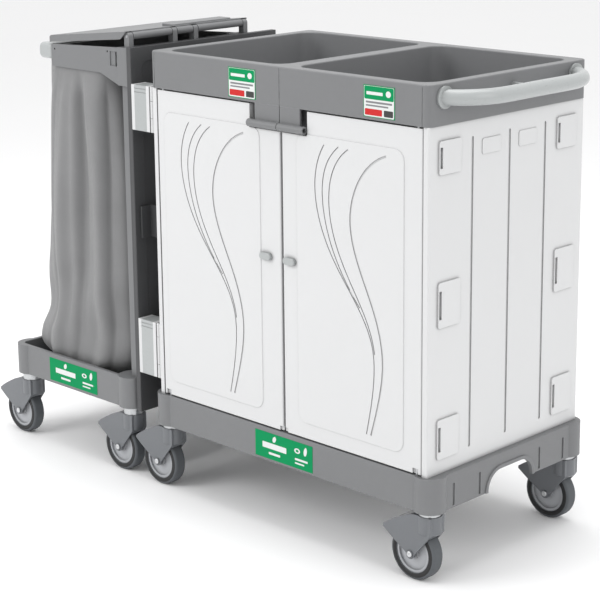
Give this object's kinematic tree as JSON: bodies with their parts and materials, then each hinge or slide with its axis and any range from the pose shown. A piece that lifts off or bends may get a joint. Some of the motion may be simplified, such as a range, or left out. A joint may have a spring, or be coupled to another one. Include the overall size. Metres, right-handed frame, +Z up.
{
  "type": "housekeeping cart",
  "caption": "Wheeled housekeeping cart: cabinet with pivoted doors, deep tray compartments on top, push handle, and a hinged bag holder with a lid at one end.",
  "frame": {"origin": "middle of the footprint, on the floor", "axes": "+X towards the push handle, the doors face -Y, +Z up"},
  "size_m": [1.6352, 0.564, 1.138],
  "materials": {
    "grey_plastic": "fine moulded grain",
    "white_plastic": "satin, fine grain",
    "light_grey_plastic": "smooth satin",
    "charcoal_plastic": "fine moulded grain",
    "caster_plastic": "satin",
    "hub_plastic": "satin",
    "tread": "matt",
    "steel": "bright zinc",
    "sticker": "printed film",
    "cloth": "woven nylon"
  },
  "bodies": {
    "cabinet": {"base_frame": "grey_plastic", "top_tray": "grey_plastic", "side_panel_left": "white_plastic", "side_panel_right": "white_plastic", "rear_panel": "white_plastic", "centre_stile": "grey_plastic", "shelf": "grey_plastic", "push_handle": "light_grey_plastic", "tray_tab_left": "grey_plastic", "tray_tab_right": "grey_plastic", "door_pins": "steel", "label_base": "sticker", "tray_labels": "sticker", "hinge_leaf_cabinet": "white_plastic", "hinge_pins": "steel", "caster_stems_cabinet": "steel"},
    "door_left": {"door_left": "white_plastic"},
    "door_right": {"door_right": "white_plastic"},
    "lock_knob_left": {"lock_knob_left": "light_grey_plastic"},
    "lock_knob_right": {"lock_knob_right": "light_grey_plastic"},
    "bag_module": {"module_base": "grey_plastic", "upright_front": "grey_plastic", "upright_rear": "grey_plastic", "divider_panel": "charcoal_plastic", "bag_frame": "grey_plastic", "grip_bar": "light_grey_plastic", "lid_pin": "steel", "panel_clip": "charcoal_plastic", "hinge_blocks": "light_grey_plastic", "hinge_leaf_module": "white_plastic", "laundry_bag": "cloth", "label_module": "sticker", "caster_stems_module": "steel"},
    "bag_lid": {"bag_lid": "grey_plastic"},
    "swivel_cab_fl": {"fork_cab_fl": "caster_plastic"},
    "wheel_cab_fl": {"hub_cab_fl": "hub_plastic", "tyre_cab_fl": "tread"},
    "swivel_cab_fr": {"fork_cab_fr": "caster_plastic"},
    "wheel_cab_fr": {"hub_cab_fr": "hub_plastic", "tyre_cab_fr": "tread"},
    "swivel_cab_rl": {"fork_cab_rl": "caster_plastic"},
    "wheel_cab_rl": {"hub_cab_rl": "hub_plastic", "tyre_cab_rl": "tread"},
    "swivel_cab_rr": {"fork_cab_rr": "caster_plastic"},
    "wheel_cab_rr": {"hub_cab_rr": "hub_plastic", "tyre_cab_rr": "tread"},
    "swivel_bag_fl": {"fork_bag_fl": "caster_plastic"},
    "wheel_bag_fl": {"hub_bag_fl": "hub_plastic", "tyre_bag_fl": "tread"},
    "swivel_bag_fr": {"fork_bag_fr": "caster_plastic"},
    "wheel_bag_fr": {"hub_bag_fr": "hub_plastic", "tyre_bag_fr": "tread"},
    "swivel_bag_rl": {"fork_bag_rl": "caster_plastic"},
    "wheel_bag_rl": {"hub_bag_rl": "hub_plastic", "tyre_bag_rl": "tread"},
    "swivel_bag_rr": {"fork_bag_rr": "caster_plastic"},
    "wheel_bag_rr": {"hub_bag_rr": "hub_plastic", "tyre_bag_rr": "tread"}
  },
  "joints": [
    {"name": "door_left_swing", "type": "hinge", "parent": "cabinet", "child": "door_left", "pos_m": [-0.10575, -0.26, 0.63], "axis": [0, 0, -1], "range_deg": [0, 90]},
    {"name": "door_right_swing", "type": "hinge", "parent": "cabinet", "child": "door_right", "pos_m": [0.69425, -0.26, 0.63], "axis": [0, 0, 1], "range_deg": [0, 110]},
    {"name": "lock_knob_left_turn", "type": "hinge", "parent": "door_left", "child": "lock_knob_left", "pos_m": [0.24525, -0.267, 0.662], "axis": [0, -1, 0], "range_deg": [0, 90]},
    {"name": "lock_knob_right_turn", "type": "hinge", "parent": "door_right", "child": "lock_knob_right", "pos_m": [0.32125, -0.267, 0.662], "axis": [0, 1, 0], "range_deg": [0, 90]},
    {"name": "bag_module_swing", "type": "hinge", "parent": "cabinet", "child": "bag_module", "pos_m": [-0.1482, -0.2575, 0.64], "axis": [0, 0, 1], "range_deg": [0, 90]},
    {"name": "bag_lid_swing", "type": "hinge", "parent": "bag_module", "child": "bag_lid", "pos_m": [-0.24575, -0.054, 1.123], "axis": [0, 1, 0], "range_deg": [0, 100]},
    {"name": "swivel_cab_fl_turn", "type": "hinge", "parent": "cabinet", "child": "swivel_cab_fl", "pos_m": [-0.12575, -0.241, 0.143], "axis": [0, 0, 1], "continuous": true},
    {"name": "wheel_cab_fl_spin", "type": "hinge", "parent": "swivel_cab_fl", "child": "wheel_cab_fl", "pos_m": [-0.16175, -0.241, 0.0625], "axis": [0, 1, 0], "continuous": true},
    {"name": "swivel_cab_fr_turn", "type": "hinge", "parent": "cabinet", "child": "swivel_cab_fr", "pos_m": [0.71425, -0.241, 0.143], "axis": [0, 0, 1], "continuous": true},
    {"name": "wheel_cab_fr_spin", "type": "hinge", "parent": "swivel_cab_fr", "child": "wheel_cab_fr", "pos_m": [0.67825, -0.241, 0.0625], "axis": [0, 1, 0], "continuous": true},
    {"name": "swivel_cab_rl_turn", "type": "hinge", "parent": "cabinet", "child": "swivel_cab_rl", "pos_m": [-0.12575, 0.246, 0.143], "axis": [0, 0, 1], "continuous": true},
    {"name": "wheel_cab_rl_spin", "type": "hinge", "parent": "swivel_cab_rl", "child": "wheel_cab_rl", "pos_m": [-0.16175, 0.246, 0.0625], "axis": [0, 1, 0], "continuous": true},
    {"name": "swivel_cab_rr_turn", "type": "hinge", "parent": "cabinet", "child": "swivel_cab_rr", "pos_m": [0.71425, 0.246, 0.143], "axis": [0, 0, 1], "continuous": true},
    {"name": "wheel_cab_rr_spin", "type": "hinge", "parent": "swivel_cab_rr", "child": "wheel_cab_rr", "pos_m": [0.67825, 0.246, 0.0625], "axis": [0, 1, 0], "continuous": true},
    {"name": "swivel_bag_fl_turn", "type": "hinge", "parent": "bag_module", "child": "swivel_bag_fl", "pos_m": [-0.70125, -0.241, 0.143], "axis": [0, 0, 1], "continuous": true},
    {"name": "wheel_bag_fl_spin", "type": "hinge", "parent": "swivel_bag_fl", "child": "wheel_bag_fl", "pos_m": [-0.73725, -0.241, 0.0625], "axis": [0, 1, 0], "continuous": true},
    {"name": "swivel_bag_fr_turn", "type": "hinge", "parent": "bag_module", "child": "swivel_bag_fr", "pos_m": [-0.27825, -0.241, 0.143], "axis": [0, 0, 1], "range_deg": [-100, 100]},
    {"name": "wheel_bag_fr_spin", "type": "hinge", "parent": "swivel_bag_fr", "child": "wheel_bag_fr", "pos_m": [-0.31425, -0.241, 0.0625], "axis": [0, 1, 0], "continuous": true},
    {"name": "swivel_bag_rl_turn", "type": "hinge", "parent": "bag_module", "child": "swivel_bag_rl", "pos_m": [-0.70125, 0.246, 0.143], "axis": [0, 0, 1], "continuous": true},
    {"name": "wheel_bag_rl_spin", "type": "hinge", "parent": "swivel_bag_rl", "child": "wheel_bag_rl", "pos_m": [-0.73725, 0.246, 0.0625], "axis": [0, 1, 0], "continuous": true},
    {"name": "swivel_bag_rr_turn", "type": "hinge", "parent": "bag_module", "child": "swivel_bag_rr", "pos_m": [-0.27825, 0.246, 0.143], "axis": [0, 0, 1], "range_deg": [-100, 100]},
    {"name": "wheel_bag_rr_spin", "type": "hinge", "parent": "swivel_bag_rr", "child": "wheel_bag_rr", "pos_m": [-0.31425, 0.246, 0.0625], "axis": [0, 1, 0], "continuous": true}
  ]
}
